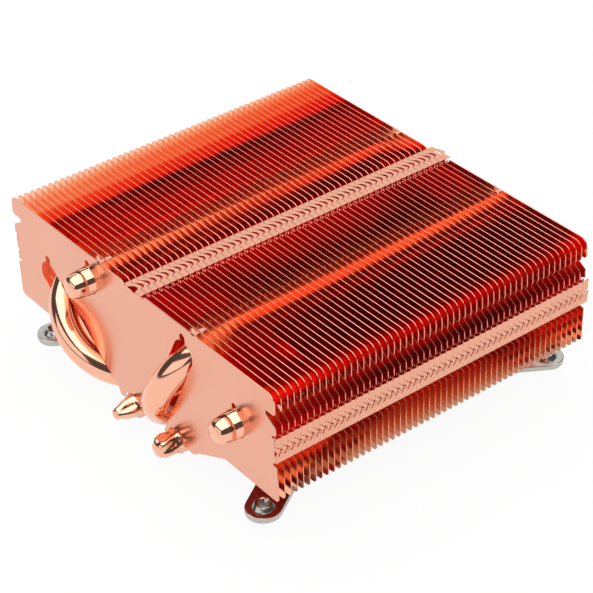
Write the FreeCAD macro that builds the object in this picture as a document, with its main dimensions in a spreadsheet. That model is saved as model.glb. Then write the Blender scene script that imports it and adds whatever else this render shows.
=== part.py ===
import FreeCAD, Part
import math
import os

import Sketcher

# A low, all-copper heatsink for a server processor. Fifty-four zipper fins stand across four
# 6 mm heat pipes. Each pipe is a U: its lower leg lies in a groove of the base, its bend comes
# out of one end of the fin stack, and its upper leg runs back through every fin.
#
# Frame: millimetres, +Z up, X along a fin, Y along the fin stack. The origin is the middle of
# the polished face that sits on the processor, and the fins' top edges are the highest point.

doc = FreeCAD.newDocument("heatsink")
sheet = doc.addObject("Spreadsheet::Sheet", "Sizes")

SIZES = [
    # fins
    ("fin_width", 94.5, "length of one fin along X"),
    ("fin_top", 38.0, "height of the fins' top edge over the contact face"),
    ("fin_pitch", 1.55, "from one fin to the next"),
    ("fin_sheet", 0.3, "copper sheet of the fins and their flanges"),
    ("pair_count", 26, "fin pairs between the front fin and the back fin"),
    ("side_height", 26.0, "height of a fin's left and right edge"),
    ("corner_cut", 1.4, "cut-off at a fin's two top corners"),
    ("chin_half", 19.0, "half the width of the chin that stands on the base"),
    ("skirt_half", 29.7, "half the width where the chin's slope meets the bottom edge"),
    ("nick_drop", 4.7, "upper edge of the side nick, under the fins' top"),
    ("nick_depth", 3.2, "how far the side nick reaches in"),
    ("nick_fall", 2.7, "height of the side nick at the fin's edge"),
    ("strip_width", 6.0, "width of the top zipper strip"),
    ("side_strip_drop", 10.6, "upper edge of the side zipper strips, under the fins' top"),
    ("side_strip_height", 5.8, "height of the side zipper strips"),
    ("tab_width", 1.8, "width of the spacer tabs on the two end fins"),
    ("left_tab", -12.4, "place of the left spacer tab along the fin"),
    ("right_tab", 21.0, "place of the right spacer tab along the fin"),
    ("solder_width", 1.9, "width of the solder groove over a pipe's hole"),
    ("solder_reach", 4.9, "top of the solder groove, over the pipe's axis"),
    # heat pipes
    ("pipe_radius", 3.0, "outside of a heat pipe"),
    ("pipe_gap", 0.15, "clearance of a pipe in a fin's hole, slot or notch"),
    ("groove_gap", 0.05, "solder film between a pipe and its groove"),
    ("leg_pitch", 7.7, "between neighbouring lower legs in the base"),
    ("leg_height", 5.5, "axis of the lower legs over the contact face"),
    ("bend_radius", 14.4, "radius of a pipe's axis round its bend"),
    ("bend_depth", 11.8, "centre of a bend, behind the stack's end face"),
    ("outer_tilt", 39.0, "tilt of the outer pipes' bends from the base, in degrees"),
    ("inner_tilt", 62.5, "tilt of the inner pipes' bends from the base, in degrees"),
    ("upper_stickout", 5.3, "closed end of an upper leg, out of the stack"),
    ("lower_stickout", 5.0, "swaged end of a lower leg, out of the stack"),
    ("dome_rise", 2.4, "length of the domed end of an upper leg"),
    ("dome_flat", 0.9, "radius of the small flat on the dome"),
    ("swage_length", 4.4, "length of the swaged end of a lower leg"),
    ("swage_neck", 1.2, "radius of the swaged end's neck"),
    ("swage_tip", 1.7, "radius of the bead that seals the swaged end"),
    ("bead_length", 1.6, "length of that bead"),
    # base
    ("base_depth", 40.0, "base along the lower legs"),
    ("base_height", 6.0, "top of the base over the contact face"),
    ("boss_half", 19.0, "half the width of the block under the pipes"),
    ("boss_chamfer", 0.5, "edge of the contact face"),
    ("ledge_width", 6.0, "how far a ledge stands out of the block's side"),
    ("ledge_floor", 4.6, "underside of the ledges, where the brackets are screwed on"),
    # brackets and their hardware
    ("hole_spacing", 78.0, "mounting holes, both ways"),
    ("bracket_sheet", 1.3, "steel plate of the brackets"),
    ("bracket_gap", 0.2, "clearance between a bracket and the block"),
    ("arm_width", 7.8, "width of an arm and of its round foot"),
    ("screw_spacing", 25.0, "the two screws of one bracket"),
    ("screw_radius", 1.25, "corners of a bracket screw's shank"),
    ("screw_gap", 0.1, "clearance of a screw in its holes"),
    ("screw_bite", 1.1, "length of a screw in the ledge"),
    ("head_radius", 2.3, "corners of a bracket screw's head"),
    ("head_height", 1.3, "height of that head, under the bracket"),
    ("nut_shank", 1.95, "corners of a mounting nut's shank, in the foot"),
    ("nut_gap", 0.05, "clearance of that shank in its hole"),
    ("nut_foot", 2.4, "radius of the nut's body where it stands on the foot"),
    ("nut_rim", 1.95, "radius of the nut's body at its top"),
    ("nut_rise", 1.05, "height of the nut's body"),
    ("nut_bore", 1.25, "core of the M3 thread"),
]

# A sketch's points and circles start about this far out, and its constraints place them.
START = 5.0

# A bend is swept through this many short straight lengths with mitred joints.
BEND_LENGTHS = 8

# Where a dome turns from a steep cone to a shallow one: shares of the pipe's radius and of the
# dome's length.
SHOULDER_RADIUS = 0.86
SHOULDER_RISE = 0.55


def fill_sheet():
    """Writes each driving size, its name and what it measures into a row of the sheet."""
    for row, (name, value, note) in enumerate(SIZES, start=1):
        sheet.set("A%d" % row, name)
        sheet.set("B%d" % row, str(value))
        sheet.set("C%d" % row, note)
        sheet.setAlias("B%d" % row, name)
    doc.recompute()


fill_sheet()

# Places that several pieces share, written once as expressions on the sheet.
FIN_SIDE = "(Sizes.fin_width / 2)"
STACK_DEPTH = "((2 * Sizes.pair_count + 1) * Sizes.fin_pitch + Sizes.fin_sheet)"
STACK_FRONT = "(-%s / 2)" % STACK_DEPTH
SLOT_HALF = "(Sizes.pipe_radius + Sizes.pipe_gap)"
LEG_SPREAD = "(2 * Sizes.bend_radius)"
ARM_FLOOR = "(Sizes.ledge_floor - Sizes.bracket_sheet)"
BASE_SIDE = "(Sizes.boss_half + Sizes.ledge_width)"
LEDGE_MIDDLE = "(Sizes.boss_half + Sizes.ledge_width / 2)"
FOOT = "(Sizes.hole_spacing / 2)"
SCREW_Y = "(Sizes.screw_spacing / 2)"
SCREW_HOLE = "(Sizes.screw_radius + Sizes.screw_gap)"
NUT_HOLE = "(Sizes.nut_shank + Sizes.nut_gap)"

# The bend lies between the end face of the stack and this depth, which ends between two fins.
SLOT_DEPTH = "((ceil(Sizes.bend_depth / Sizes.fin_pitch) - 0.5) * Sizes.fin_pitch)"

# The four pipes. The first two bend out of the front of the stack. The other two are the same
# pipes turned half round the Z axis, so they bend out of the back.
# Name, lower leg in leg pitches from the middle, tilt of the bend from +X, turn about Z.
PIPES = [
    ("heat_pipe_outer_left", "-1.5", "(180 - Sizes.outer_tilt)", 0),
    ("heat_pipe_inner_right", "0.5", "Sizes.inner_tilt", 0),
    ("heat_pipe_inner_left", "0.5", "Sizes.inner_tilt", 180),
    ("heat_pipe_outer_right", "-1.5", "(180 - Sizes.outer_tilt)", 180),
]

parts = []


def bind(feature, values):
    """Binds a feature's properties to expressions on the sheet."""
    for name, expression in values.items():
        feature.setExpression(name, str(expression))


def keep(piece, label):
    """Names a finished sub-part and puts it on the list of those that are written out."""
    piece.Label = label
    parts.append(piece)
    return piece


def add_points(sketch, points, closed=True):
    """Straight lines through points, each an (x, y) pair of expressions.

    The points start evenly round a circle, in order, and the constraints then place them."""
    count = len(points)
    turn = 2 * math.pi / (count + 1)
    start = [
        FreeCAD.Vector(START * math.cos(turn * i), START * math.sin(turn * i), 0)
        for i in range(count)
    ]
    first = sketch.GeometryCount
    lines = count if closed else count - 1
    for i in range(lines):
        sketch.addGeometry(Part.LineSegment(start[i], start[(i + 1) % count]), False)
    joints = lines if closed else lines - 1
    for i in range(joints):
        sketch.addConstraint(
            Sketcher.Constraint("Coincident", first + i, 2, first + (i + 1) % lines, 1)
        )
    for i, (x, y) in enumerate(points):
        end = (first + i, 1) if i < lines else (first + i - 1, 2)
        for kind, value in (("DistanceX", x), ("DistanceY", y)):
            row = sketch.addConstraint(Sketcher.Constraint(kind, -1, 1, *end, 1.0))
            sketch.setExpression("Constraints[%d]" % row, value)


def add_circle(sketch, x, y, radius):
    """A circle whose centre and radius are expressions."""
    index = sketch.addGeometry(
        Part.Circle(FreeCAD.Vector(START, START, 0), FreeCAD.Vector(0, 0, 1), START), False
    )
    rows = [
        ("DistanceX", (-1, 1, index, 3, START), x),
        ("DistanceY", (-1, 1, index, 3, START), y),
        ("Radius", (index, START), radius),
    ]
    for kind, where, value in rows:
        row = sketch.addConstraint(Sketcher.Constraint(kind, *where))
        sketch.setExpression("Constraints[%d]" % row, value)


def add_hexagon(sketch, x, y, radius):
    """A hexagon with two corners on its X axis, whose middle and corner radius are expressions."""
    corners = []
    for angle in range(0, 360, 60):
        corner_x = "%s + %s * cos(%d * 1 deg)" % (x, radius, angle)
        corner_y = "%s + %s * sin(%d * 1 deg)" % (y, radius, angle)
        corners.append((corner_x, corner_y))
    add_points(sketch, corners)


# ---- parametric bodies ----


def new_body(label):
    """An empty body, named for the sub-part that it holds."""
    body = doc.addObject("PartDesign::Body", label)
    return keep(body, label)


def plane(body, role):
    """One of the body's own origin planes or axes, by its role."""
    return next(item for item in body.Origin.OriginFeatures if item.Role == role)


def new_sketch(body, role, name, offset=None):
    """A sketch on one of the body's own origin planes, moved and turned as the offset says."""
    sketch = body.newObject("Sketcher::SketchObject", name)
    sketch.AttachmentSupport = (plane(body, role), [""])
    sketch.MapMode = "FlatFace"
    sketch.AttachmentOffset = FreeCAD.Placement(
        FreeCAD.Vector(), FreeCAD.Rotation(FreeCAD.Vector(0, 0, 1), 1)
    )
    sketch.setExpression("AttachmentOffset.Rotation.Angle", "0 deg")
    for name, expression in (offset or {}).items():
        sketch.setExpression("AttachmentOffset." + name, expression)
    return sketch


def add_pad(body, sketch, length, name, middle=False):
    """A pad of the sketch, upwards or to both sides."""
    pad = body.newObject("PartDesign::Pad", name)
    pad.Profile = sketch
    pad.setExpression("Length", length)
    pad.Midplane = middle
    body.Tip = pad
    return pad


def add_pocket(body, sketch, length, name, middle=False):
    """A pocket of the sketch, upwards or to both sides. It has to take something away."""
    doc.recompute()
    before = body.Shape.Volume
    pocket = body.newObject("PartDesign::Pocket", name)
    pocket.Profile = sketch
    pocket.setExpression("Length", length)
    pocket.Reversed = not middle
    pocket.Midplane = middle
    body.Tip = pocket
    doc.recompute()
    if not body.Shape.Volume < before:
        raise ValueError(name + " cuts nothing")
    return pocket


# ---- fins ----

# The outline of every fin, seen from the front, clockwise from the top left corner.
nick_top = "(Sizes.fin_top - Sizes.nick_drop)"
nick_foot = "(Sizes.fin_top - Sizes.nick_drop - Sizes.nick_fall)"
side_foot = "(Sizes.fin_top - Sizes.side_height)"
right_side = [
    (FIN_SIDE + " - Sizes.corner_cut", "Sizes.fin_top"),
    (FIN_SIDE, "Sizes.fin_top - Sizes.corner_cut"),
    (FIN_SIDE, nick_top),
    (FIN_SIDE + " - Sizes.nick_depth", nick_top),
    (FIN_SIDE, nick_foot),
    (FIN_SIDE, side_foot),
    ("Sizes.skirt_half", side_foot),
    ("Sizes.chin_half", "Sizes.base_height"),
]
left_side = [("-(%s)" % x, z) for x, z in reversed(right_side)]

fin_outline = doc.addObject("Sketcher::SketchObject", "fin_outline")
fin_outline.Placement = FreeCAD.Placement(
    FreeCAD.Vector(), FreeCAD.Rotation(FreeCAD.Vector(1, 0, 0), 90)
)
add_points(fin_outline, right_side + left_side)


def add_box(name, values):
    """A box whose lengths and place are expressions."""
    box = doc.addObject("Part::Box", name)
    bind(box, values)
    return box


def join(name, pieces, refine=True):
    """One solid out of pieces that touch or overlap."""
    fuse = doc.addObject("Part::MultiFuse", name)
    fuse.Shapes = pieces
    fuse.Refine = refine
    return fuse


def add_fold(name, place, values):
    """A flange of the fin's sheet, folded back from its edge as far as the next fin."""
    sizes = {"Width": "Sizes.fin_pitch", "Placement.Base.y": place}
    sizes.update(values)
    return add_box(name, sizes)


def fin_pieces(name, place):
    """One fin: its plate and the three zipper flanges that hold the next fin off."""
    plate = doc.addObject("Part::Extrusion", name + "_plate")
    plate.Base = fin_outline
    plate.DirMode = "Custom"
    plate.Dir = FreeCAD.Vector(0, 1, 0)
    plate.Solid = True
    bind(plate, {"LengthFwd": "Sizes.fin_sheet", "Placement.Base.y": place})
    side_flange = {
        "Length": "Sizes.fin_sheet",
        "Height": "Sizes.side_strip_height",
        "Placement.Base.z": "Sizes.fin_top - Sizes.side_strip_drop - Sizes.side_strip_height",
    }
    top_flange = {
        "Length": "Sizes.strip_width",
        "Height": "Sizes.fin_sheet",
        "Placement.Base.x": "-Sizes.strip_width / 2",
        "Placement.Base.z": "Sizes.fin_top - Sizes.fin_sheet",
    }
    left = dict(side_flange)
    left["Placement.Base.x"] = "-" + FIN_SIDE
    right = dict(side_flange)
    right["Placement.Base.x"] = FIN_SIDE + " - Sizes.fin_sheet"
    return [
        plate,
        add_fold(name + "_top_flange", place, top_flange),
        add_fold(name + "_left_flange", place, left),
        add_fold(name + "_right_flange", place, right),
    ]


# Each end of the stack has this many fins with spacer tabs.
TABBED_FINS = 2


def spacer_tabs(name, place):
    """The two narrow tabs on the top edge that only the two fins at each end have."""
    tabs = []
    for side in ("left_tab", "right_tab"):
        values = {
            "Length": "Sizes.tab_width",
            "Height": "Sizes.fin_sheet",
            "Placement.Base.x": "Sizes.%s - Sizes.tab_width / 2" % side,
            "Placement.Base.z": "Sizes.fin_top - Sizes.fin_sheet",
        }
        tabs.append(add_fold("%s_%s" % (name, side), place, values))
    return tabs


def pipe_axes(pipe):
    """X and Z of a pipe's two legs, in the stack's frame, as expressions."""
    name, leg, tilt, turn = pipe
    sign = "-" if turn else ""
    low_x = "%s(%s * Sizes.leg_pitch)" % (sign, leg)
    high_x = "%s(%s * Sizes.leg_pitch + %s * cos(%s * 1 deg))" % (sign, leg, LEG_SPREAD, tilt)
    high_z = "(Sizes.leg_height + %s * sin(%s * 1 deg))" % (LEG_SPREAD, tilt)
    return low_x, high_x, high_z


def lean(pipe):
    """Angle of the plane of a pipe's bend, turned about Y from the XY plane."""
    return "(%s)" % pipe[2] if pipe[3] == 0 else "(180 - %s)" % pipe[2]


def add_channel(name, pipe, reach, place, length):
    """A straight channel along Y in the plane of a pipe's bend, open for the pipe.

    It is as wide as the pipe with its clearance. It runs from the given distance under the
    upper leg's axis to the clearance above it."""
    low_x, high_x, high_z = pipe_axes(pipe)
    lean_angle = lean(pipe)
    box = doc.addObject("Part::Box", name)
    box.Placement = FreeCAD.Placement(
        FreeCAD.Vector(), FreeCAD.Rotation(FreeCAD.Vector(0, 1, 0), -1)
    )
    along = "(%s)" % reach
    bind(
        box,
        {
            "Length": "%s + %s" % (along, SLOT_HALF),
            "Width": length,
            "Height": "2 * " + SLOT_HALF,
            "Placement.Rotation.Angle": "-1 * %s * 1 deg" % lean_angle,
            "Placement.Base.x": "%s - %s * cos(%s * 1 deg) + %s * sin(%s * 1 deg)"
            % (high_x, along, lean_angle, SLOT_HALF, lean_angle),
            "Placement.Base.y": place,
            "Placement.Base.z": "%s - %s * sin(%s * 1 deg) - %s * cos(%s * 1 deg)"
            % (high_z, along, lean_angle, SLOT_HALF, lean_angle),
        },
    )
    return box


def add_bore(name, x, z, radius):
    """A round hole along the whole stack, as a cylinder that reaches past both of its ends."""
    bore = doc.addObject("Part::Cylinder", name)
    bore.Placement = FreeCAD.Placement(
        FreeCAD.Vector(), FreeCAD.Rotation(FreeCAD.Vector(1, 0, 0), -90)
    )
    bind(
        bore,
        {
            "Radius": radius,
            "Height": "2 * " + STACK_DEPTH,
            "Placement.Base.x": x,
            "Placement.Base.y": "-" + STACK_DEPTH,
            "Placement.Base.z": z,
        },
    )
    return bore


def bend_slots():
    """The slots from each pipe's hole to its lower leg, through the fins that its bend crosses.

    Each slot is open at the chin, so that the fins slide over the bend from above."""
    slots = []
    for pipe in PIPES:
        place = "(2 * %s)" % STACK_FRONT
        if pipe[3]:
            place = "(-%s - %s)" % (STACK_FRONT, SLOT_DEPTH)
        length = "-%s + %s" % (STACK_FRONT, SLOT_DEPTH)
        slots.append(add_channel(pipe[0] + "_slot", pipe, LEG_SPREAD, place, length))
    return slots


def inner_passages(slots):
    """What the pipes take out of the fins inside the stack.

    Nobody can see these openings, so they have the fewest faces: flats that lie the pipes'
    clearance away from them, and one wide notch over all four lower legs."""
    tools = list(slots)
    for pipe in PIPES:
        tools.append(
            add_channel(pipe[0] + "_hole", pipe, SLOT_HALF, STACK_FRONT, STACK_DEPTH)
        )
    notch_half = "(1.5 * Sizes.leg_pitch + %s)" % SLOT_HALF
    tools.append(
        add_box(
            "leg_notch",
            {
                "Length": "2 * " + notch_half,
                "Width": STACK_DEPTH,
                "Height": "Sizes.leg_height + " + SLOT_HALF,
                "Placement.Base.x": "-" + notch_half,
                "Placement.Base.y": STACK_FRONT,
            },
        )
    )
    return join("inner_passages", tools)


def end_passages(slots):
    """What the pipes take out of the two end fins: round holes with a solder groove on top,
    and an arch over each lower leg."""
    tools = list(slots)
    for pipe in PIPES:
        low_x, high_x, high_z = pipe_axes(pipe)
        tools.append(add_bore(pipe[0] + "_arch", low_x, "Sizes.leg_height", SLOT_HALF))
        tools.append(add_bore(pipe[0] + "_rim", high_x, high_z, SLOT_HALF))
        tools.append(
            add_box(
                pipe[0] + "_groove",
                {
                    "Length": "Sizes.solder_width",
                    "Width": "2 * " + STACK_DEPTH,
                    "Height": "Sizes.solder_reach",
                    "Placement.Base.x": "%s - Sizes.solder_width / 2" % high_x,
                    "Placement.Base.y": "-" + STACK_DEPTH,
                    "Placement.Base.z": high_z,
                },
            )
        )
    return join("end_passages", tools)


def add_fins(label, fin_numbers, passages):
    """Neighbouring fins as one solid, held together by their own flanges."""
    pieces = []
    for number in fin_numbers:
        name = "fin_%02d" % number
        place = "%s + %d * Sizes.fin_pitch" % (STACK_FRONT, number)
        pieces += fin_pieces(name, place)
        if min(number, last_fin - number) < TABBED_FINS:
            pieces += spacer_tabs(name, place)
    cut = doc.addObject("Part::Cut", label)
    cut.Base = join(label + "_sheets", pieces)
    cut.Tool = passages
    cut.Refine = True
    keep(cut, label)


pair_count = int(sheet.get("pair_count"))
last_fin = 2 * pair_count + 1
slots = bend_slots()
inner = inner_passages(slots)
ends = end_passages(slots)
add_fins("front_fin", [0], ends)
for pair in range(pair_count):
    add_fins("fin_pair_%02d" % (pair + 1), [2 * pair + 1, 2 * pair + 2], inner)
add_fins("back_fin", [last_fin], ends)


# ---- heat pipes ----


def add_turned_end(body, name, points, offset):
    """An end form turned about a leg's axis, from (radius, distance along the leg) points."""
    sketch = new_sketch(body, "XY_Plane", name + "_profile", offset)
    add_points(sketch, points)
    turned = body.newObject("PartDesign::Revolution", name)
    turned.Profile = sketch
    turned.ReferenceAxis = (sketch, ["V_Axis"])
    turned.Angle = 360
    body.Tip = turned
    return turned


def add_heat_pipe(pipe):
    """One pipe, built flat in its own XY plane and leant over its lower leg.

    In that plane the lower leg lies on the Y axis, the bend is at -Y and the upper leg is one
    spread to +X. Both ends are at +Y: a dome on the upper leg, a pinched seal on the lower."""
    name, leg, tilt, turn = pipe
    body = new_body(name)
    body.setExpression(
        "Placement",
        "placement(vector(0; 0; 0); rotation(vector(0; 0; 1); %d deg))"
        " * placement(vector(%s * Sizes.leg_pitch; 0; Sizes.leg_height);"
        " rotation(vector(0; 1; 0); -1 * %s * 1 deg))" % (turn, leg, tilt),
    )
    bend_y = "(%s + Sizes.bend_depth)" % STACK_FRONT
    radius = "Sizes.pipe_radius"
    upper_end = "(-%s + Sizes.upper_stickout - Sizes.dome_rise)" % STACK_FRONT
    lower_end = "(-%s + Sizes.lower_stickout - Sizes.swage_length)" % STACK_FRONT

    # The path: up the lower leg, round the bend's corners, and back along the upper leg.
    path = new_sketch(body, "XY_Plane", name + "_path")
    half_step = 90 / BEND_LENGTHS
    corner = "(Sizes.bend_radius / cos(%s * 1 deg))" % half_step
    route = [("0", lower_end)]
    for i in range(BEND_LENGTHS):
        angle = (2 * i + 1) * half_step
        route.append(
            (
                "Sizes.bend_radius - %s * cos(%s * 1 deg)" % (corner, angle),
                "%s - %s * sin(%s * 1 deg)" % (bend_y, corner, angle),
            )
        )
    route.append((LEG_SPREAD, upper_end))
    add_points(path, route, closed=False)

    section = new_sketch(
        body, "XZ_Plane", name + "_section", {"Base.z": "-1 * " + lower_end}
    )
    add_circle(section, "0", "0", radius)
    tube = body.newObject("PartDesign::AdditivePipe", name + "_tube")
    tube.Profile = section
    tube.Spine = path
    tube.Transition = "Right corner"
    body.Tip = tube

    # The dome: a steep cone, a shallow cone and a small flat.
    dome = [
        ("0", "0"),
        (radius, "0"),
        ("%s * %s" % (SHOULDER_RADIUS, radius), "%s * Sizes.dome_rise" % SHOULDER_RISE),
        ("Sizes.dome_flat", "Sizes.dome_rise"),
        ("0", "Sizes.dome_rise"),
    ]
    add_turned_end(
        body, name + "_dome", dome, {"Base.x": LEG_SPREAD, "Base.y": upper_end}
    )

    # The pinched seal: a cone down to a neck, and a bead that closes it.
    neck = "(Sizes.swage_length - Sizes.bead_length)"
    seal = [
        ("0", "0"),
        (radius, "0"),
        ("Sizes.swage_neck", neck),
        ("Sizes.swage_tip", neck + " + Sizes.bead_length / 2"),
        ("Sizes.swage_neck", "Sizes.swage_length"),
        ("0", "Sizes.swage_length"),
    ]
    add_turned_end(body, name + "_seal", seal, {"Base.y": lower_end})


for pipe in PIPES:
    add_heat_pipe(pipe)


# ---- base ----


def add_base():
    """The copper base: a block with four open grooves, and a ledge along each side."""
    body = new_body("base_block")
    chamfered = "(Sizes.boss_half - Sizes.boss_chamfer)"
    right = [
        (chamfered, "0"),
        ("Sizes.boss_half", "Sizes.boss_chamfer"),
        ("Sizes.boss_half", "Sizes.ledge_floor"),
        (BASE_SIDE, "Sizes.ledge_floor"),
        (BASE_SIDE, "Sizes.base_height"),
    ]
    profile = new_sketch(body, "XZ_Plane", "base_profile")
    add_points(profile, right + [("-1 * " + x, z) for x, z in reversed(right)])
    add_pad(body, profile, "Sizes.base_depth", "base_block_form", middle=True)

    grooves = new_sketch(body, "XZ_Plane", "groove_profile")
    for step in (-1.5, -0.5, 0.5, 1.5):
        add_circle(
            grooves,
            "%s * Sizes.leg_pitch" % step,
            "Sizes.leg_height",
            "Sizes.pipe_radius + Sizes.groove_gap",
        )
    add_pocket(body, grooves, "Sizes.base_depth", "pipe_grooves", middle=True)

    threads = new_sketch(body, "XY_Plane", "thread_places")
    for x_side in ("-1", "1"):
        for y_side in ("-1", "1"):
            add_hexagon(
                threads,
                "%s * %s" % (x_side, LEDGE_MIDDLE),
                "%s * %s" % (y_side, SCREW_Y),
                SCREW_HOLE,
            )
    depth = "Sizes.ledge_floor + Sizes.screw_bite + Sizes.screw_gap"
    add_pocket(body, threads, depth, "screw_threads")


add_base()


# ---- mounting brackets ----


def add_bracket(label, turn):
    """A bow of steel plate: a bar under the ledge, and an arm from each of its two screws to a
    round foot. It is drawn for the right side, and the left one is turned half round."""
    body = new_body(label)
    body.setExpression(
        "Placement",
        "placement(vector(0; 0; %s); rotation(vector(0; 0; 1); %d deg))" % (ARM_FLOOR, turn),
    )
    half_width = "(Sizes.arm_width / 2)"
    arm_x = "(%s - %s)" % (FOOT, LEDGE_MIDDLE)
    arm_y = "(%s - %s)" % (FOOT, SCREW_Y)
    arm_length = "sqrt(%s ^ 2 + %s ^ 2)" % (arm_x, arm_y)
    arm_angle = "atan2(%s; %s)" % (arm_x, arm_y)

    bar = new_sketch(body, "XY_Plane", label + "_bar_outline")
    inner = "(Sizes.boss_half + Sizes.bracket_gap)"
    end = "(%s + %s)" % (SCREW_Y, half_width)
    add_points(
        bar,
        [
            (inner, end),
            (BASE_SIDE, end),
            (BASE_SIDE, "-1 * " + end),
            (inner, "-1 * " + end),
        ],
    )
    add_pad(body, bar, "Sizes.bracket_sheet", label + "_bar")

    at_foot = {"Base.x": FOOT, "Base.y": FOOT, "Rotation.Angle": "-1 * " + arm_angle}
    arm = new_sketch(body, "XY_Plane", label + "_arm_outline", at_foot)
    add_points(
        arm,
        [
            (half_width, "0"),
            (half_width, "-1 * " + arm_length),
            ("-1 * " + half_width, "-1 * " + arm_length),
            ("-1 * " + half_width, "0"),
        ],
    )
    arm_pad = add_pad(body, arm, "Sizes.bracket_sheet", label + "_arm")
    foot = new_sketch(body, "XY_Plane", label + "_foot_outline", at_foot)
    add_circle(foot, "0", "0", half_width)
    foot_pad = add_pad(body, foot, "Sizes.bracket_sheet", label + "_foot")
    mirror = body.newObject("PartDesign::Mirrored", label + "_second_arm")
    mirror.Originals = [arm_pad, foot_pad]
    mirror.MirrorPlane = (plane(body, "XZ_Plane"), [""])
    body.Tip = mirror

    # The arms' roots would run into the block, so the plate stops short of its side.
    block = new_sketch(body, "XY_Plane", label + "_block_side")
    long = "(Sizes.base_depth / 2 + Sizes.bracket_gap)"
    add_points(
        block, [("0", long), (inner, long), (inner, "-1 * " + long), ("0", "-1 * " + long)]
    )
    add_pocket(body, block, "Sizes.bracket_sheet", label + "_block_clearance")

    holes = new_sketch(body, "XY_Plane", label + "_hole_places")
    for y_side in ("-1", "1"):
        add_hexagon(holes, FOOT, "%s * %s" % (y_side, FOOT), NUT_HOLE)
        add_hexagon(holes, LEDGE_MIDDLE, "%s * %s" % (y_side, SCREW_Y), SCREW_HOLE)
    add_pocket(body, holes, "Sizes.bracket_sheet", label + "_holes")


add_bracket("right_bracket", 0)
add_bracket("left_bracket", 180)


# ---- screws and nuts ----

# They are hidden but for the nuts' bodies, so their shanks, like the holes for them in the base
# and the brackets, have six flats and not a round thread.


def add_upright(kind, name, x, y, floor, top, sizes):
    """An upright primitive of the given kind between two heights."""
    piece = doc.addObject(kind, name)
    place = {"Placement.Base.x": x, "Placement.Base.y": y, "Placement.Base.z": floor}
    place["Height"] = "%s - %s" % (top, floor)
    bind(piece, place)
    bind(piece, sizes)
    return piece


def add_group(label, pieces):
    """Identical pieces that share one node, each a separate solid."""
    group = doc.addObject("Part::Compound", label)
    group.Links = pieces
    keep(group, label)


def corners():
    """The four quarters of the plan: a name and the signs of X and Y."""
    for y_name, y_sign in (("front", "-1"), ("back", "1")):
        for x_name, x_sign in (("left", "-1"), ("right", "1")):
            yield y_name + "_" + x_name, x_sign, y_sign


def add_screw(quarter, x_sign, y_sign):
    """A bracket screw: its head under the bracket, its shank up in the ledge."""
    x = "%s * %s" % (x_sign, LEDGE_MIDDLE)
    y = "%s * %s" % (y_sign, SCREW_Y)
    floor = "(%s - Sizes.head_height)" % ARM_FLOOR
    tip = "(Sizes.ledge_floor + Sizes.screw_bite)"
    head_sizes = {"Circumradius": "Sizes.head_radius"}
    head = add_upright("Part::Prism", quarter + "_head", x, y, floor, ARM_FLOOR, head_sizes)
    shank_sizes = {"Circumradius": "Sizes.screw_radius"}
    shank = add_upright("Part::Prism", quarter + "_shank", x, y, floor, tip, shank_sizes)
    return join(quarter + "_screw", [head, shank])


def add_nut(quarter, x_sign, y_sign):
    """A mounting nut: its shank is pressed into the foot, and its body stands on top of it, so
    that the board's screw, which comes from below, pulls the foot down."""
    x = "%s * %s" % (x_sign, FOOT)
    y = "%s * %s" % (y_sign, FOOT)
    foot_top = "Sizes.ledge_floor"
    top = "(Sizes.ledge_floor + Sizes.nut_rise)"
    shank_sizes = {"Circumradius": "Sizes.nut_shank"}
    shank = add_upright(
        "Part::Prism", quarter + "_nut_shank", x, y, ARM_FLOOR, foot_top, shank_sizes
    )
    body_sizes = {"Radius1": "Sizes.nut_foot", "Radius2": "Sizes.nut_rim"}
    body = add_upright("Part::Cone", quarter + "_nut_body", x, y, foot_top, top, body_sizes)
    bore_sizes = {"Radius": "Sizes.nut_bore"}
    nut = doc.addObject("Part::Cut", quarter + "_nut")
    nut.Base = join(quarter + "_nut_form", [shank, body])
    nut.Tool = add_upright(
        "Part::Cylinder", quarter + "_bore", x, y, ARM_FLOOR, top, bore_sizes
    )
    return nut


add_group("bracket_screws", [add_screw(*corner) for corner in corners()])
add_group("mounting_nuts", [add_nut(*corner) for corner in corners()])


# ---- checks and files ----


def check_and_write():
    """Stops on a failed object or a bad shape, then writes each sub-part's file."""
    doc.recompute()
    for item in doc.Objects:
        if "Invalid" in item.State or "Error" in item.State:
            raise RuntimeError("%s did not compute" % item.Label)
    for piece in parts:
        if piece.Shape.isNull() or not piece.Shape.isValid():
            raise RuntimeError("%s has a bad shape" % piece.Label)
    os.makedirs("parts", exist_ok=True)
    for piece in parts:
        piece.Shape.exportStep("parts/%s.step" % piece.Label)


check_and_write()
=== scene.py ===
import math

import bmesh
import bpy
from mathutils import Matrix, Vector


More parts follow.
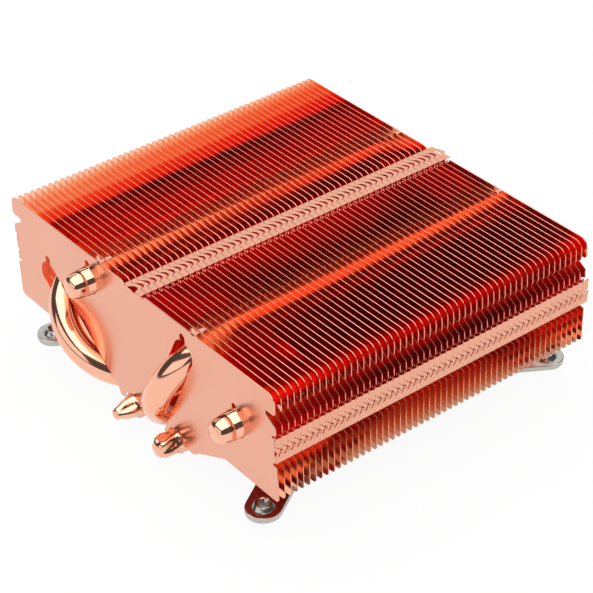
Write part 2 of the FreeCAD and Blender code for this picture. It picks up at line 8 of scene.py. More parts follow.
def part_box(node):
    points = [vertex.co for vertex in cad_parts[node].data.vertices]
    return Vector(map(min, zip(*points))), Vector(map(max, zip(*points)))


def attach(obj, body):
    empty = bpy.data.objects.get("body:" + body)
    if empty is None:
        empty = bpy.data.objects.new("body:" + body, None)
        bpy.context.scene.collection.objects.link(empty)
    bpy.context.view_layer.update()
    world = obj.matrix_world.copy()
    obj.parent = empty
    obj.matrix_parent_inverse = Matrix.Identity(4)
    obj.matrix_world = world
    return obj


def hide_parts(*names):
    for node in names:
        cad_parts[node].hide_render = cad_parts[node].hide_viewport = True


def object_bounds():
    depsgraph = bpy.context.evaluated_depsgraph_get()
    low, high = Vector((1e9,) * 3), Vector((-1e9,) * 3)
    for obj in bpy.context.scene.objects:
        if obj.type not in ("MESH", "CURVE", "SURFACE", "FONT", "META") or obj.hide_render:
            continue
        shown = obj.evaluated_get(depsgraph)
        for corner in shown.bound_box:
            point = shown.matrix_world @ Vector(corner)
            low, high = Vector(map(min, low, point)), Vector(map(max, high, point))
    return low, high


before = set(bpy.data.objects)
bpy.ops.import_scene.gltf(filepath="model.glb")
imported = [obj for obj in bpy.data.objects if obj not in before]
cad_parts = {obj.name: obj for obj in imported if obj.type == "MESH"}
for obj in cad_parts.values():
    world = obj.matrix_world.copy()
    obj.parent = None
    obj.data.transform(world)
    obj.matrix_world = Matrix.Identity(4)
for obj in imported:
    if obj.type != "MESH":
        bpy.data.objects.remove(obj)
cad_low, cad_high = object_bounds()


# ---- Camera ----
# It looks at the middle of the fin stack from the front right, 34 degrees above the bench,
# through a long lens, so that the fins stay almost parallel.
AZIMUTH = math.radians(53.087)
ELEVATION = math.radians(33.975)
ROLL = math.radians(-2.071)
DISTANCE = 0.42428
SENSOR_WIDTH = 36.0
FOCAL_LENGTH = 118.75
SHIFT_ACROSS = 0.0045
SHIFT_UP = -0.0495
AIM_BELOW_TOP = 0.01296

back = Vector(
    (
        math.sin(AZIMUTH) * math.cos(ELEVATION),
        -math.cos(AZIMUTH) * math.cos(ELEVATION),
        math.sin(ELEVATION),
    )
)
level_right = (-back).cross(Vector((0, 0, 1))).normalized()
level_up = level_right.cross(-back)
right = level_right * math.cos(ROLL) + level_up * math.sin(ROLL)
up = level_up * math.cos(ROLL) - level_right * math.sin(ROLL)
stack_low, stack_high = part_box("front_fin")
target = Vector((0, 0, stack_high.z - AIM_BELOW_TOP))
eye = target + back * DISTANCE

lens = bpy.data.cameras.new("camera")
lens.sensor_width = SENSOR_WIDTH
lens.lens = FOCAL_LENGTH
lens.shift_x = SHIFT_ACROSS
lens.shift_y = SHIFT_UP
lens.clip_start = 0.01
lens.clip_end = 20
camera = bpy.data.objects.new("camera", lens)
camera.matrix_world = Matrix(
    (
        (right.x, up.x, back.x, eye.x),
        (right.y, up.y, back.y, eye.y),
        (right.z, up.z, back.z, eye.z),
        (0, 0, 0, 1),
    )
)
bpy.context.scene.collection.objects.link(camera)
bpy.context.scene.camera = camera


# ---- Fins ----
# Fifty-four fins of 0.2 mm soft copper sheet, stamped in one stroke each. Three flanges per fin
# fold back to the next one and lock into it with a tongue, as a zipper does. All lengths here
# are in millimetres, and a fin's outline is drawn in its own plane: X along the fin, Z up.
SHEET = 0.21
SHEET_EDGE = 0.022
PIPE_RADIUS = 3.0
HOLE_RADIUS = 3.15
SOLDER_HALF = 0.95
SOLDER_TOP = 5.0
STRIP_SINK = 0.35
ROOT_DEPTH = 0.4
TOP_STRIP_HALF = 3.0
SIDE_STRIP_TOP = 10.6
SIDE_STRIP_FOOT = 16.4
SIDE_DEPTH = 26.0
FLANK_END = 29.7
CHIN_END = 17.6
CHIN_RADIUS = 2.4
TAB_PLACES = (-12.4, 21.0)
TAB_HALF = 0.5
# A flange's root is the opening in its fold, and its tongue the lip on its far edge. Both are
# points across the strip and back from that edge. The slots are punched beside the tongue.
TOP_ROOT = [(1.0, 0.0), (0.84, 0.5), (0.62, 0.98), (0.05, 1.26), (-0.75, 1.2), (-1.42, 0.56)]
TOP_ROOT += [(-1.85, 0.0)]
TOP_TONGUE = [(0.95, 0.0), (0.72, 0.52), (0.42, 0.84), (-0.1, 0.8), (-0.62, 0.56)]
TOP_TONGUE += [(-1.3, 0.4), (-1.8, 0.0)]
SIDE_ROOT = [(0.06, 0.0), (-0.25, 0.44), (-0.75, 0.44), (-1.1, 0.0)]
SIDE_TONGUE = [(0.34, 0.0), (0.24, -0.46), (-0.18, -0.42), (-0.22, 0.05), (-0.36, 0.28)]
SIDE_TONGUE += [(-0.7, 0.28), (-0.95, 0.0)]
SIDE_SLOTS = [
    [(-0.26, 1.26), (-0.44, 1.52), (-1.38, 0.96), (-1.6, 0.54), (-1.3, 0.62)],
    [(1.3, 0.08), (1.2, 0.32), (0.98, 0.3), (1.08, 0.06)],
    [(0.8, 0.62), (0.62, 1.02), (0.34, 0.94), (0.62, 0.54)],
]
# The slope of a tongue past the next fold, what a flange's far edge leaves open before the next
# fin, and how far down it is tucked there.
TONGUE_LIFT = -0.05
TOP_CRACK = 0.09
SIDE_CRACK = -0.05
SIDE_TUCK = 0.04
# Fins whose plates a pipe's bend crosses, at each end of the stack.
BEND_FINS = 8
# A face turned less than about 26 degrees from an axis counts as facing it.
FACING = 0.9
# The fins' materials by their place in the list.
RUBBED = 0
# The second is a brighter, redder copy of the sheet: painted light for the deep gaps.
PAINTED_GAP_LIGHT = 1
SHEARED = 2
PIPE_NODES = (
    "heat_pipe_outer_left",
    "heat_pipe_inner_left",
    "heat_pipe_inner_right",
    "heat_pipe_outer_right",
)
FRONT_BENDS = ("heat_pipe_outer_left", "heat_pipe_inner_right")
BACK_BENDS = ("heat_pipe_inner_left", "heat_pipe_outer_right")

half_width = stack_high.x * 1000
fin_top = stack_high.z * 1000
chin = stack_low.z * 1000
pitch = (stack_high.y - stack_low.y) * 1000
side_top = fin_top - SIDE_STRIP_TOP
side_foot = fin_top - SIDE_STRIP_FOOT
side_middle = fin_top - (SIDE_STRIP_TOP + SIDE_STRIP_FOOT) / 2
# Under each strip the plate ends inside the flange's thickness.
strip_level = fin_top - STRIP_SINK - SHEET / 2
strip_wall = half_width - STRIP_SINK - SHEET / 2


def srgb(code):
    """Linear colour of an sRGB hex code."""
    parts = [int(code[i : i + 2], 16) / 255 for i in (1, 3, 5)]
    curve = [v / 12.92 if v <= 0.04045 else ((v + 0.055) / 1.055) ** 2.4 for v in parts]
    return (*curve, 1.0)


def add_node(material, kind, settings=None, links=None):
    """A node with its properties, its socket values and the sockets that feed it."""
    node = material.node_tree.nodes.new(kind)
    for name, value in (settings or {}).items():
        if isinstance(name, str) and hasattr(node, name):
            setattr(node, name, value)
        else:
            node.inputs[name].default_value = value
    for name, socket in (links or {}).items():
        material.node_tree.links.new(socket, node.inputs[name])
    return node


def arc(cx, cy, radius, start, end, steps):
    """Points on an arc, both ends included, angles in degrees."""
    angles = [math.radians(start + (end - start) * i / steps) for i in range(steps + 1)]
    return [(cx + radius * math.cos(a), cy + radius * math.sin(a)) for a in angles]


def pipe_legs(node):
    """The two legs of a pipe across the stack, as (x, z) of the lower and the upper one."""
    low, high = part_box(node)
    inner, outer = sorted((low.x * 1000, high.x * 1000), key=abs)
    side = math.copysign(PIPE_RADIUS, outer)
    lower = (inner + side, low.z * 1000 + PIPE_RADIUS)
    upper = (outer - side, high.z * 1000 - PIPE_RADIUS)
    return lower, upper


def solder_groove(x, z, start, end):
    """The top of a pipe's hole from one angle round to another, with its solder groove."""
    step = math.degrees(math.asin(SOLDER_HALF / HOLE_RADIUS))
    rise = z + SOLDER_TOP - SOLDER_HALF
    left = arc(x, z, HOLE_RADIUS, start, 90 + step, 12)
    top = arc(x, rise, SOLDER_HALF, 180, 0, 8)
    return left + top + arc(x, z, HOLE_RADIUS, 90 - step, end, 12)


def leg_arch(lower):
    """The arch over a lower leg, from its left foot on the chin to its right one."""
    foot = math.degrees(math.asin((chin - lower[1]) / HOLE_RADIUS))
    return arc(*lower, HOLE_RADIUS, 180 - foot, foot, 20)


def bend_slot(lower, upper):
    """The slot that lets a pipe's bend into the fin, from its left foot to its right one."""
    tilt = math.atan2(upper[1] - lower[1], upper[0] - lower[0])
    along = Vector((math.cos(tilt), math.sin(tilt)))
    degrees = math.degrees(tilt)
    foot = math.degrees(math.asin((chin - lower[1]) / HOLE_RADIUS))
    ends = []
    for side, first in ((degrees + 90, 180 - foot), (degrees - 90, foot)):
        touch = Vector(arc(*lower, HOLE_RADIUS, side, side, 1)[0])
        if touch.y < chin:
            ends.append([tuple(touch + along * ((chin - touch.y) / along.y))])
        else:
            ends.append(arc(*lower, HOLE_RADIUS, first, side, 8))
    head = solder_groove(*upper, degrees + 90, degrees - 90)
    return ends[0] + head + ends[1][::-1]


def top_edge():
    """A fin's top from left to right, with the seat of the top flange and the nicks beside it."""
    strip = TOP_STRIP_HALF
    left_end = TOP_ROOT[-1][0]
    right_end = TOP_ROOT[0][0]
    edge = [(-strip - 1.4, fin_top), (-strip - 0.8, fin_top - 0.12)]
    edge += [(-strip - 0.35, fin_top - 0.36), (-strip - 0.1, fin_top - 0.7)]
    edge += [(-strip, strip_level), (left_end, strip_level)]
    edge += [(left_end, strip_level - ROOT_DEPTH), (right_end, strip_level - ROOT_DEPTH)]
    edge += [(right_end, strip_level)]
    edge += [(strip, strip_level), (strip, fin_top - 1.1), (strip + 0.4, fin_top - 1.1)]
    edge += [(strip + 0.5, fin_top - 0.42), (strip + 0.75, fin_top - 0.36)]
    edge += [(strip + 0.85, fin_top - 0.8), (strip + 1.15, fin_top - 0.7)]
    edge += [(strip + 1.35, fin_top - 0.05), (strip + 1.7, fin_top)]
    return edge


def side_edge():
    """A fin's right edge from its round corner down past the waist, the slanted step and the seat
    of the side flange to its foot, and in to the chin."""
    edge = half_width - STRIP_SINK
    root_top = side_middle + SIDE_ROOT[0][0]
    root_foot = side_middle + SIDE_ROOT[-1][0]
    foot = fin_top - SIDE_DEPTH
    side = arc(half_width - 2, fin_top - 2, 2, 90, 0, 6)
    side += arc(half_width - 0.8, fin_top - 3.9, 0.8, 0, -80, 4)
    side += [(half_width - 2.6, fin_top - 4.7), (half_width - 3.1, fin_top - 4.9)]
    side += [(half_width - 3.05, fin_top - 5.6), (half_width - 0.1, fin_top - 7.4)]
    side += [(half_width, side_top + 1.2), (edge - 0.9, side_top + 0.7)]
    side += [(edge - 0.9, side_top + 0.1), (edge - 0.42, side_top + 0.06)]
    side += [(edge - 0.3, side_top + 0.6), (edge - 0.03, side_top + 0.66)]
    side += [(strip_wall, side_top), (strip_wall, root_top), (edge - ROOT_DEPTH, root_top)]
    side += [(edge - ROOT_DEPTH, root_foot), (strip_wall, root_foot), (strip_wall, side_foot)]
    side += [(edge - 0.9, side_foot - 0.1), (edge - 0.9, side_foot - 0.7)]
    side += [(half_width, side_foot - 0.9)]
    side += arc(half_width - 1, foot + 1, 1, 0, -90, 4)
    side += [(FLANK_END, foot)]
    return side + arc(CHIN_END, chin + CHIN_RADIUS, CHIN_RADIUS, -30, -90, 4)


def fin_outlines(slotted):
    """A fin's outline and its round holes. The pipes named in slotted bend through it."""
    side = side_edge()
    outline = top_edge() + side
    holes = []
    places = sorted((pipe_legs(node), node) for node in PIPE_NODES)
    for (lower, upper), node in reversed(places):
        if node in slotted:
            opening = bend_slot(lower, upper)
        else:
            opening = leg_arch(lower)
            holes.append(solder_groove(*upper, 270, -90)[:-1])
        outline += opening[::-1]
    outline += [(-x, z) for x, z in reversed(side)]
    return [outline] + holes


def flat_sheet(outlines, thickness, edge):
    """A bmesh of flat sheet with the given outer outline and holes, softly broken at its edges.

    It lies in the XY plane with its middle at Z 0."""
    curve = bpy.data.curves.new("blank", "CURVE")
    curve.dimensions = "2D"
    curve.fill_mode = "BOTH"
    curve.offset = -edge
    curve.extrude = thickness / 2 - edge
    curve.bevel_depth = edge
    curve.bevel_resolution = 0
    for outline in outlines:
        spline = curve.splines.new("POLY")
        spline.points.add(len(outline) - 1)
        for point, (x, y) in zip(spline.points, outline):
            point.co = (x, y, 0, 1)
        spline.use_cyclic_u = True
    blank = bpy.data.objects.new("blank", curve)
    mesh = bpy.data.meshes.new_from_object(blank)
    shape = bmesh.new()
    shape.from_mesh(mesh)
    bmesh.ops.remove_doubles(shape, verts=shape.verts, dist=0.001)
    bmesh.ops.recalc_face_normals(shape, faces=shape.faces)
    bpy.data.objects.remove(blank)
    bpy.data.curves.remove(curve)
    bpy.data.meshes.remove(mesh)
    return shape


def zipper_flange(half, root, tongue, slots, crack, tuck):
    """One flange, lying flat: X across the strip, Y back from the fold.

    Its far edge stops a crack short of the next fin, or runs on under it where the crack is below
    zero, and is tucked down by the given amount. Its tongue lies in the next fin's root."""
    far = pitch - crack
    reach = [(x, far + y) for x, y in reversed(tongue)]
    outline = [(half, 0), *root, (-half, 0), (-half, far), *reach, (half, far)]
    flange = flat_sheet([outline] + slots, SHEET, SHEET_EDGE)
    for vert in flange.verts:
        vert.co.z += TONGUE_LIFT * max(0.0, vert.co.y - pitch) - tuck * min(1.0, vert.co.y / pitch)
    return flange


def place_sheet(shape, columns, offset, target):
    """Moves a flat sheet so that its X, Y and Z axes lie along the columns, into the target."""
    turn = Matrix([[column[i] for column in columns] for i in range(3)]).to_4x4()
    bmesh.ops.transform(shape, matrix=Matrix.Translation(offset) @ turn, verts=shape.verts)
    if turn.determinant() < 0:
        bmesh.ops.reverse_faces(shape, faces=shape.faces)
    mesh = bpy.data.meshes.new("placed")
    shape.to_mesh(mesh)
    shape.free()
    target.from_mesh(mesh)
    bpy.data.meshes.remove(mesh)


def fin_shape(slotted, spacers):
    """A whole fin at Y 0: its plate, its three flanges and, if asked for, its spacer tabs."""
    fin = bmesh.new()
    plate = flat_sheet(fin_outlines(slotted), SHEET, SHEET_EDGE)
    for face in plate.faces:
        # Plate faces take the brighter, redder copy, painted light for the deep gaps.
        face.material_index = PAINTED_GAP_LIGHT if abs(face.normal.z) > FACING else SHEARED
    place_sheet(plate, ((1, 0, 0), (0, 0, 1), (0, -1, 0)), (0, SHEET / 2, 0), fin)
    level = ((1, 0, 0), (0, 1, 0), (0, 0, 1))
    top = zipper_flange(TOP_STRIP_HALF, TOP_ROOT, TOP_TONGUE, [], TOP_CRACK, 0)
    place_sheet(top, level, (0, 0, strip_level), fin)
    half = (SIDE_STRIP_FOOT - SIDE_STRIP_TOP) / 2
    for side in (1, -1):
        flange = zipper_flange(half, SIDE_ROOT, SIDE_TONGUE, SIDE_SLOTS, SIDE_CRACK, SIDE_TUCK)
        upright = ((0, 0, 1), (0, 1, 0), (side, 0, 0))
        place_sheet(flange, upright, (side * strip_wall, 0, side_middle), fin)
    if spacers:
        outline = [(-TAB_HALF, 0), (TAB_HALF, 0), (TAB_HALF, pitch), (-TAB_HALF, pitch)]
        for x in TAB_PLACES:
            tab = flat_sheet([outline], SHEET, SHEET_EDGE)
            place_sheet(tab, level, (x, 0, fin_top - SHEET / 2), fin)
    return fin


# Slow changes of tint across any copper, as clouds to a metre, and the depth of the grain in metres.
COPPER_CLOUDS = 60.0
GRAIN_DEPTH = 0.00002
# How far the pale band painted round each pipe's upper leg reaches from its axis, in metres: whole,
# gone, and how ragged its border is. The band is painted reflection of the lit pipes, and duller than
# the copper by the last value.
PAINTED_BAND_FULL = 0.0041
PAINTED_BAND_SPREAD = 0.0064
PAINTED_BAND_RAGGED = 0.0012
PAINTED_BAND_DULLING = 0.2


def copper(name, tint, deep, roughness, grain_mm, grain_stretch, bump, painted_band=None):
    """Bare copper: a pink-orange metal with a faint grain left by rolling or drawing.

    Its tint drifts to the deep one. The painted band, if any, is a pale colour painted round each
    pipe's upper leg, standing in for the lit pipes' reflection."""
    material = bpy.data.materials.new(name)
    material.use_nodes = True
    shader = material.node_tree.nodes["Principled BSDF"]
    shader.inputs["Metallic"].default_value = 1.0
    place = add_node(material, "ShaderNodeTexCoord").outputs["Object"]
    stretched = add_node(
        material, "ShaderNodeMapping", {"Scale": grain_stretch}, {"Vector": place}
    ).outputs["Vector"]
    grain = add_node(
        material,
        "ShaderNodeTexNoise",
        {"Scale": 1000 / grain_mm, "Detail": 3.0, "Roughness": 0.6},
        {"Vector": stretched},
    ).outputs["Fac"]
    cloud = add_node(
        material, "ShaderNodeTexNoise", {"Scale": COPPER_CLOUDS, "Detail": 2.0}, {"Vector": place}
    ).outputs["Fac"]
    colour = add_node(
        material,
        "ShaderNodeMix",
        {"data_type": "RGBA", 6: srgb(tint), 7: srgb(deep)},
        {0: cloud},
    ).outputs[2]
    spread = add_node(
        material,
        "ShaderNodeMapRange",
        {"To Min": roughness * 0.8, "To Max": roughness * 1.25},
        {"Value": grain},
    ).outputs["Result"]
    # The pale band round the pipes is painted reflection of the lit pipes.
    if painted_band:
        mask = painted_band_mask(material, place, cloud)
        colour = add_node(
            material,
            "ShaderNodeMix",
            {"data_type": "RGBA", 7: srgb(painted_band)},
            {0: mask, 6: colour},
        ).outputs[2]
        spread = add_node(
            material,
            "ShaderNodeMath",
            {"operation": "MULTIPLY_ADD", 1: PAINTED_BAND_DULLING},
            {0: mask, 2: spread},
        ).outputs[0]
    relief = add_node(
        material,
        "ShaderNodeBump",
        {"Strength": bump, "Distance": GRAIN_DEPTH},
        {"Height": grain},
    ).outputs["Normal"]
    material.node_tree.links.new(colour, shader.inputs["Base Color"])
    material.node_tree.links.new(spread, shader.inputs["Roughness"])
    material.node_tree.links.new(relief, shader.inputs["Normal"])
    return material


def painted_band_mask(material, place, cloud):
    """How far a point lies in the painted reflection band round the pipes' upper legs, from 0 to 1.
    """
    flat = add_node(
        material, "ShaderNodeVectorMath", {"operation": "MULTIPLY", 1: (1, 0, 1)}, {0: place}
    ).outputs[0]
    nearest = None
    for node in PIPE_NODES:
        x, z = pipe_legs(node)[1]
        far = add_node(
            material,
            "ShaderNodeVectorMath",
            {"operation": "DISTANCE", 1: (x / 1000, 0, z / 1000)},
            {0: flat},
        ).outputs["Value"]
        if nearest:
            far = add_node(
                material, "ShaderNodeMath", {"operation": "MINIMUM"}, {0: nearest, 1: far}
            ).outputs[0]
        nearest = far
    ragged = add_node(
        material,
        "ShaderNodeMath",
        {"operation": "MULTIPLY_ADD", 1: -PAINTED_BAND_RAGGED},
        {0: cloud, 2: nearest},
    ).outputs[0]
    return add_node(
        material,
        "ShaderNodeMapRange",
        {"From Min": PAINTED_BAND_SPREAD, "From Max": PAINTED_BAND_FULL, "To Max": 0.9},
        {"Value": ragged},
    ).outputs["Result"]


def add_piece(name, shape, material, node):
    """Makes a mesh in millimetres a piece of the object that stands for a CAD node."""
    bmesh.ops.scale(shape, vec=(0.001,) * 3, verts=shape.verts)
    mesh = bpy.data.meshes.new(name)
    shape.to_mesh(mesh)
    shape.free()
    mesh.materials.append(material)
    piece = bpy.data.objects.new(name, mesh)
    bpy.context.scene.collection.objects.link(piece)
    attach(piece, "root")
    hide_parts(node)
    return piece


# Rolled copper sheet, satin and rubbed bright outside: it mirrors the bench softly.
rolled_copper = copper(
    "rolled_copper_sheet", "#f0b096", "#eaa68a", 0.2, 0.35, (0.15, 1.0, 1.0), 0.1
)
# The same sheet between the fins, as a brighter, slightly redder copy: painted light for the deep
# gaps. Light mirrored there a few times turns deep red, and round the pipes a painted pale band
# stands in for the lit pipes' reflection.
painted_gap_light_copper = copper(
    "copper_sheet_painted_gap_light",
    "#fdbb94",
    "#fcb088",
    0.1,
    0.35,
    (0.15, 1.0, 1.0),
    0.06,
    # The pale band's colour: painted reflection of the lit pipes.
    "#f8ccac",
)
# The sheared rims of the sheet: dull and torn, so they catch light from all round.
sheared_copper = copper(
    "sheared_copper_rim", "#fca894", "#f89c88", 0.23, 0.2, (1.0, 0.3, 0.3), 0.3
)

fin_nodes = sorted(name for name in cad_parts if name.startswith("fin_pair"))
fin_nodes = ["front_fin"] + fin_nodes + ["back_fin"]
fin_count = 2 * len(fin_nodes) - 2
fin_kinds = {}
number = 0
for node in fin_nodes:
    shape = bmesh.new()
    for step in range(2 if node.startswith("fin_pair") else 1):
        slotted = ()
        if number < BEND_FINS:
            slotted = FRONT_BENDS
        if number >= fin_count - BEND_FINS:
            slotted = BACK_BENDS
        # Tabs keep the first two gaps and the last one open.
        spacers = number in (0, 1, fin_count - 2)
        kind = (slotted, spacers)
        if kind not in fin_kinds:
            fin_kinds[kind] = bpy.data.meshes.new("fin_kind")
            form = fin_shape(*kind)
            form.to_mesh(fin_kinds[kind])
            form.free()
        before = len(shape.verts)
        shape.from_mesh(fin_kinds[kind])
        shape.verts.ensure_lookup_table()
        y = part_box(node)[0].y * 1000 + step * pitch
        bmesh.ops.translate(shape, vec=(0, y, 0), verts=shape.verts[before:])
        number += 1
    outward = {"front_fin": -1, "back_fin": 1}.get(node, 0)
    for face in shape.faces:
        if face.normal.y * outward > FACING:
            face.material_index = RUBBED
    name = node.replace("fin", "copper_fin")
    fin = add_piece(name, shape, rolled_copper, node)
    # The plates' brighter, redder copy is painted light for the deep gaps.
    fin.data.materials.append(painted_gap_light_copper)
    fin.data.materials.append(sheared_copper)
for mesh in fin_kinds.values():
    bpy.data.meshes.remove(mesh)


# ---- Heat pipes ----
# Four 6 mm copper tubes with a wick inside, bent into a U and polished. The upper end is spun
# nearly flat. The lower end, where the pipe was filled, is pinched to a neck and welded shut.
LEG_STEPS = 44
BEND_STEPS = 36
# The sealed lower end stops this far short of the domed one.
SEAL_BACK = 0.3
# Each ring of an end: its radius, its distance from the tip, and how deep the jaws pinched it.
SPUN_END = [(3.0, 3.52, 0), (2.95, 3.47, 0), (3.0, 3.42, 0), (2.9, 2.5, 0), (2.68, 1.6, 0)]
SPUN_END += [(2.45, 0.9, 0), (2.2, 0.5, 0), (1.8, 0.2, 0), (1.2, 0.05, 0), (0.5, 0, 0)]
SLIM_SEAL = [(3.0, 5.4, 0), (2.6, 4.9, 0.06), (2.3, 3.6, 0.13), (1.9, 2.4, 0.14)]
SLIM_SEAL += [(1.5, 1.5, 0.1), (1.36, 0.8, 0.06), (1.05, 0.25, 0.03), (0.5, 0, 0)]
FULL_SEAL = [(3.0, 5.2, 0), (2.6, 4.8, 0.05), (2.35, 3.8, 0.13), (2.45, 2.6, 0.15)]
FULL_SEAL += [(2.3, 1.8, 0.14), (2.25, 1.1, 0.12), (1.8, 0.45, 0.08), (1.2, 0.12, 0.04)]
FULL_SEAL += [(0.5, 0, 0)]


def end_rings(shape, rim, axis_point, direction, length, rings, jaws, twist):
    """Extrudes a tube's open rim through an end's rings, up to its length, and closes it.

    The pinch is by this many jaws, and its pattern turns by the twist, in radians to a millimetre."""
    edges = rim
    reach = 0.0
    for radius, back_from_tip, pinch in rings:
        travel = length - back_from_tip
        grown = bmesh.ops.extrude_edge_only(shape, edges=edges)["geom"]
        verts = [item for item in grown if isinstance(item, bmesh.types.BMVert)]
        edges = [item for item in grown if isinstance(item, bmesh.types.BMEdge)]
        bmesh.ops.translate(shape, vec=direction * (travel - reach), verts=verts)
        centre = axis_point + direction * travel
        for vert in verts:
            out = vert.co - centre
            turn = math.atan2(out.z, out.x)
            factor = 1 + pinch * math.cos(jaws * turn + twist * travel)
            out.length = radius * factor
            vert.co = centre + out
        reach = travel
    bmesh.ops.contextual_create(shape, geom=edges)


def heat_pipe(node):
    """A U-bent pipe that fills the box of its CAD node."""
    low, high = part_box(node)
    lower, upper = pipe_legs(node)
    bends_front = node in FRONT_BENDS
    sign = -1 if bends_front else 1
    bend_face = (low.y if bends_front else high.y) * 1000
    end_face = (high.y if bends_front else low.y) * 1000
    foot = Vector((lower[0], 0, lower[1]))
    head = Vector((upper[0], 0, upper[1]))
    spread = head - foot
    radius = spread.length / 2
    bend_y = bend_face - sign * (radius + PIPE_RADIUS)
    shape = bmesh.new()
    made = bmesh.ops.create_circle(
        shape,
        cap_ends=False,
        segments=LEG_STEPS,
        radius=PIPE_RADIUS,
        matrix=Matrix.Translation((foot.x, bend_y, foot.z))
        @ Matrix.Rotation(math.radians(90), 4, "X"),
    )
    start = list({edge for vert in made["verts"] for edge in vert.link_edges})
    axis = Vector((0, sign, 0)).cross(spread).normalized()
    centre = (foot + head) / 2 + Vector((0, bend_y, 0))
    spun = bmesh.ops.spin(
        shape,
        geom=list(made["verts"]) + start,
        cent=centre,
        axis=axis,
        angle=math.radians(180),
        steps=BEND_STEPS,
        use_merge=False,
    )
    top_rim = [item for item in spun["geom_last"] if isinstance(item, bmesh.types.BMEdge)]
    back_way = Vector((0, -sign, 0))
    leg = abs(end_face - bend_y)
    bend_point = Vector((0, bend_y, 0))
    end_rings(shape, top_rim, head + bend_point, back_way, leg, SPUN_END, 1, 0)
    slim = node.endswith("left")
    seal = SLIM_SEAL if slim else FULL_SEAL
    jaws, twist = (4, 0.0) if slim else (5, 0.7)
    end_rings(shape, start, foot + bend_point, back_way, leg - SEAL_BACK, seal, jaws, twist)
    bmesh.ops.remove_doubles(shape, verts=shape.verts, dist=0.001)
    bmesh.ops.recalc_face_normals(shape, faces=shape.faces)
    for face in shape.faces:
        face.smooth = True
    return shape


# Drawn and polished copper tube: an almost mirror-like pink metal with fine draw lines.
polished_copper = copper(
    "polished_copper_tube", "#fcc0a4", "#f8b698", 0.11, 0.4, (1.0, 0.06, 1.0), 0.05
)
for node in PIPE_NODES:
    name = node.replace("heat_pipe", "copper_heat_pipe")
    add_piece(name, heat_pipe(node), polished_copper, node)


# ---- Base block ----
# A block of milled copper under the stack, grooved for the four lower legs, which are soldered
# in. Its underside is lapped flat for the processor, and its edges are broken with a file.
BLOCK_EDGE = 0.2
# Milled copper: satin and a little dull, with fine straight cutter lines.
milled_copper = copper(
    "milled_copper_block", "#eaa284", "#e0957a", 0.26, 0.25, (1.0, 0.1, 1.0), 0.2
)


def broken_edges(node, width):
    """A copy of a CAD solid, in millimetres, with its sharp edges broken."""
    shape = bmesh.new()
    shape.from_mesh(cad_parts[node].data)
    bmesh.ops.scale(shape, vec=(1000,) * 3, verts=shape.verts)
    bmesh.ops.remove_doubles(shape, verts=shape.verts, dist=0.001)
    bmesh.ops.dissolve_limit(
        shape, angle_limit=math.radians(1), verts=shape.verts, edges=shape.edges
    )
    sharp = [edge for edge in shape.edges if edge.calc_face_angle(0) > math.radians(35)]
    bmesh.ops.bevel(
        shape,
        geom=sharp,
        offset=width,
        affect="EDGES",
        segments=2,
        profile=0.5,
        material=-1,
    )
    bmesh.ops.recalc_face_normals(shape, faces=shape.faces)
    return shape


block = broken_edges("base_block", BLOCK_EDGE)
add_piece("copper_base_block", block, milled_copper, "base_block")


# ---- Brackets, nuts and screws ----
# Two bows of 1.3 mm steel plate, nickel-plated, screwed up against the base's ledges. Each foot
# carries a pressed-in nut with a turned cone and an open thread for the board's screw.
STEEL_EDGE = 0.15
NUT_RADIUS = 2.4
NUT_RISE = 1.05
NUT_SHANK = 1.95
NUT_BORE = 1.25
NUT_LIP = 1.92
THREAD_PITCH = 0.5
THREAD_DEPTH = 0.16
# The thread starts this far over the nut's foot and ends this far under its top.
THREAD_START = 0.2
THREAD_END = 0.6
# Cloudy spots to a metre of plating.
TUMBLED_SPOTS = 1500.0


def nickel_plate():
    """Nickel plating on tumbled steel: a warm grey metal, faintly clouded and half bright."""
    material = bpy.data.materials.new("nickel_plated_steel")
    material.use_nodes = True
    shader = material.node_tree.nodes["Principled BSDF"]
    shader.inputs["Metallic"].default_value = 1.0
    place = add_node(material, "ShaderNodeTexCoord").outputs["Object"]
    tumble = add_node(
        material,
        "ShaderNodeTexNoise",
        {"Scale": TUMBLED_SPOTS, "Detail": 4.0},
        {"Vector": place},
    ).outputs["Fac"]
    plating = add_node(
        material,
        "ShaderNodeMix",
        {"data_type": "RGBA", 6: srgb("#c8c4be"), 7: srgb("#b6b1ab")},
        {0: tumble},
    ).outputs[2]
    dull = add_node(
        material, "ShaderNodeMapRange", {"To Min": 0.14, "To Max": 0.26}, {"Value": tumble}
    ).outputs["Result"]
    material.node_tree.links.new(plating, shader.inputs["Base Color"])
    material.node_tree.links.new(dull, shader.inputs["Roughness"])
    return material


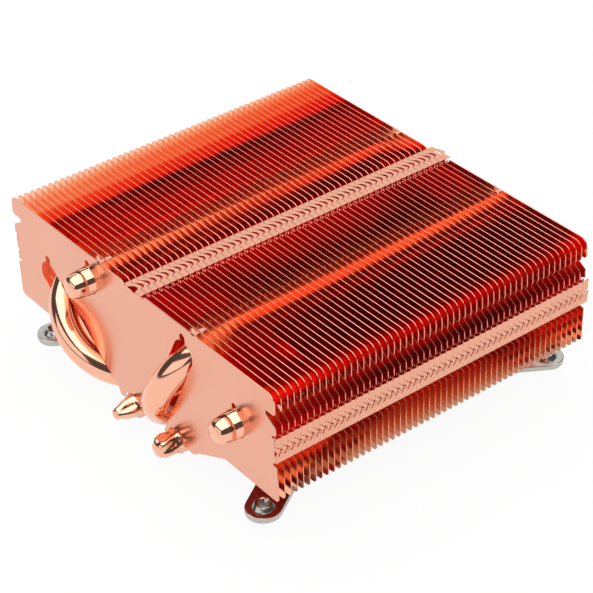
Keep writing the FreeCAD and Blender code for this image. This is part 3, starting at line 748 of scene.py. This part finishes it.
def mounting_nuts(low, high):
    """The four nuts of the feet, turned about their bores, inside the box of their CAD node."""
    floor = low.z * 1000
    top = high.z * 1000
    ledge = top - NUT_RISE
    profile = [(NUT_BORE, floor)]
    z = floor + THREAD_START
    while z < top - THREAD_END:
        profile += [(NUT_BORE, z), (NUT_BORE + THREAD_DEPTH, z + THREAD_PITCH / 2)]
        z += THREAD_PITCH
    profile += [(NUT_BORE, z), (NUT_BORE + 0.25, top), (NUT_LIP - 0.14, top)]
    profile += [(NUT_LIP, top - 0.1)]
    profile += [(NUT_RADIUS - 0.12, ledge + 0.2), (NUT_RADIUS, ledge + 0.08)]
    profile += [(NUT_RADIUS, ledge), (NUT_SHANK, ledge), (NUT_SHANK, floor)]
    nuts = bmesh.new()
    for x in (low.x * 1000 + NUT_RADIUS, high.x * 1000 - NUT_RADIUS):
        for y in (low.y * 1000 + NUT_RADIUS, high.y * 1000 - NUT_RADIUS):
            ring = [nuts.verts.new((x + r, y, z)) for r, z in profile]
            loop = [nuts.edges.new(pair) for pair in zip(ring, ring[1:] + ring[:1])]
            bmesh.ops.spin(
                nuts,
                geom=ring + loop,
                cent=(x, y, 0),
                axis=(0, 0, 1),
                angle=math.radians(360),
                steps=40,
                use_merge=True,
            )
    bmesh.ops.remove_doubles(nuts, verts=nuts.verts, dist=0.001)
    bmesh.ops.recalc_face_normals(nuts, faces=nuts.faces)
    for face in nuts.faces:
        face.smooth = True
    for edge in nuts.edges:
        edge.smooth = edge.calc_face_angle(0) < math.radians(30)
    return nuts


nickel = nickel_plate()
nuts = mounting_nuts(*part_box("mounting_nuts"))
add_piece("nickel_mounting_nuts", nuts, nickel, "mounting_nuts")
for node in ("left_bracket", "right_bracket", "bracket_screws"):
    add_piece("nickel_" + node, broken_edges(node, STEEL_EDGE), nickel, node)


# ---- Studio ----
# A white bench under a wide soft box, with a weaker one in front and another behind. The bench
# takes the object's shadow, and shows white to the lens and in the metal. In the metal it darkens
# close to the object, where the object hides the room from it.
BENCH_HALF = 4.0
BENCH_WHITE = 0.94
HIDING_REACH = 0.08


def white_paper():
    """Matt white paper that glows for the lens and for mirrored light, where a glow of 1 is white."""
    material = bpy.data.materials.new("white_bench_paper")
    material.use_nodes = True
    shader = material.node_tree.nodes["Principled BSDF"]
    shader.inputs["Base Color"].default_value = srgb("#f4f4f4")
    shader.inputs["Roughness"].default_value = 0.9
    paths = add_node(material, "ShaderNodeLightPath").outputs
    by_lens = add_node(
        material,
        "ShaderNodeMath",
        {"operation": "MULTIPLY", 1: BENCH_WHITE},
        {0: paths["Is Camera Ray"]},
    ).outputs[0]
    by_metal = add_node(
        material,
        "ShaderNodeMath",
        {"operation": "MAXIMUM"},
        {0: paths["Is Glossy Ray"], 1: paths["Is Transmission Ray"]},
    ).outputs[0]
    room = add_node(
        material, "ShaderNodeAmbientOcclusion", {"Distance": HIDING_REACH}
    ).outputs["AO"]
    clear = add_node(
        material,
        "ShaderNodeMapRange",
        {"From Min": 0.1, "From Max": 0.42, "To Min": 0.2, "To Max": 0.93},
        {"Value": room},
    ).outputs["Result"]
    share = add_node(
        material,
        "ShaderNodeMath",
        {"operation": "MULTIPLY_ADD"},
        {0: by_metal, 1: clear, 2: by_lens},
    ).outputs[0]
    glow = add_node(material, "ShaderNodeEmission", {"Strength": 1.0}).outputs["Emission"]
    blend = add_node(
        material,
        "ShaderNodeMixShader",
        {},
        {0: share, 1: shader.outputs["BSDF"], 2: glow},
    ).outputs[0]
    output = material.node_tree.nodes["Material Output"]
    material.node_tree.links.new(blend, output.inputs["Surface"])
    return material


bench_mesh = bpy.data.meshes.new("bench")
bench_shape = bmesh.new()
bmesh.ops.create_grid(bench_shape, x_segments=1, y_segments=1, size=BENCH_HALF)
bmesh.ops.translate(bench_shape, vec=(0, 0, cad_low.z), verts=bench_shape.verts)
bench_shape.to_mesh(bench_mesh)
bench_shape.free()
bench = bpy.data.objects.new("bench", bench_mesh)
bpy.context.scene.collection.objects.link(bench)
bench_mesh.materials.append(white_paper())


def soft_box(name, place, aim, size, power):
    """A rectangular soft box that faces a point. Sizes are in metres and power in watts."""
    lamp = bpy.data.lights.new(name, "AREA")
    lamp.shape = "RECTANGLE"
    lamp.size = size[0]
    lamp.size_y = size[1]
    lamp.energy = power
    box = bpy.data.objects.new(name, lamp)
    box.location = place
    box.rotation_euler = (Vector(aim) - Vector(place)).to_track_quat("-Z", "Y").to_euler()
    bpy.context.scene.collection.objects.link(box)


soft_box("overhead_box", (0.1, -0.1, 0.95), (0.1, -0.1, 0.0), (1.7, 1.5), 17.0)
soft_box("front_box", (0.1, -1.0, 0.36), (0, 0, 0.03), (1.3, 0.5), 2.2)
soft_box("back_box", (-0.75, 0.5, 0.42), (0, 0, 0.03), (1.4, 0.75), 2.9)

# The pale walls of the room give a little light from all round.
world = bpy.data.worlds.new("studio")
world.use_nodes = True
world.node_tree.nodes["Background"].inputs["Color"].default_value = srgb("#c8c8c8")
world.node_tree.nodes["Background"].inputs["Strength"].default_value = 0.15
bpy.context.scene.world = world
bpy.context.scene.view_settings.view_transform = "Standard"

# Light leaves the deep gaps between the fins only after many reflections.
bpy.context.scene.cycles.max_bounces = 24
bpy.context.scene.cycles.glossy_bounces = 24
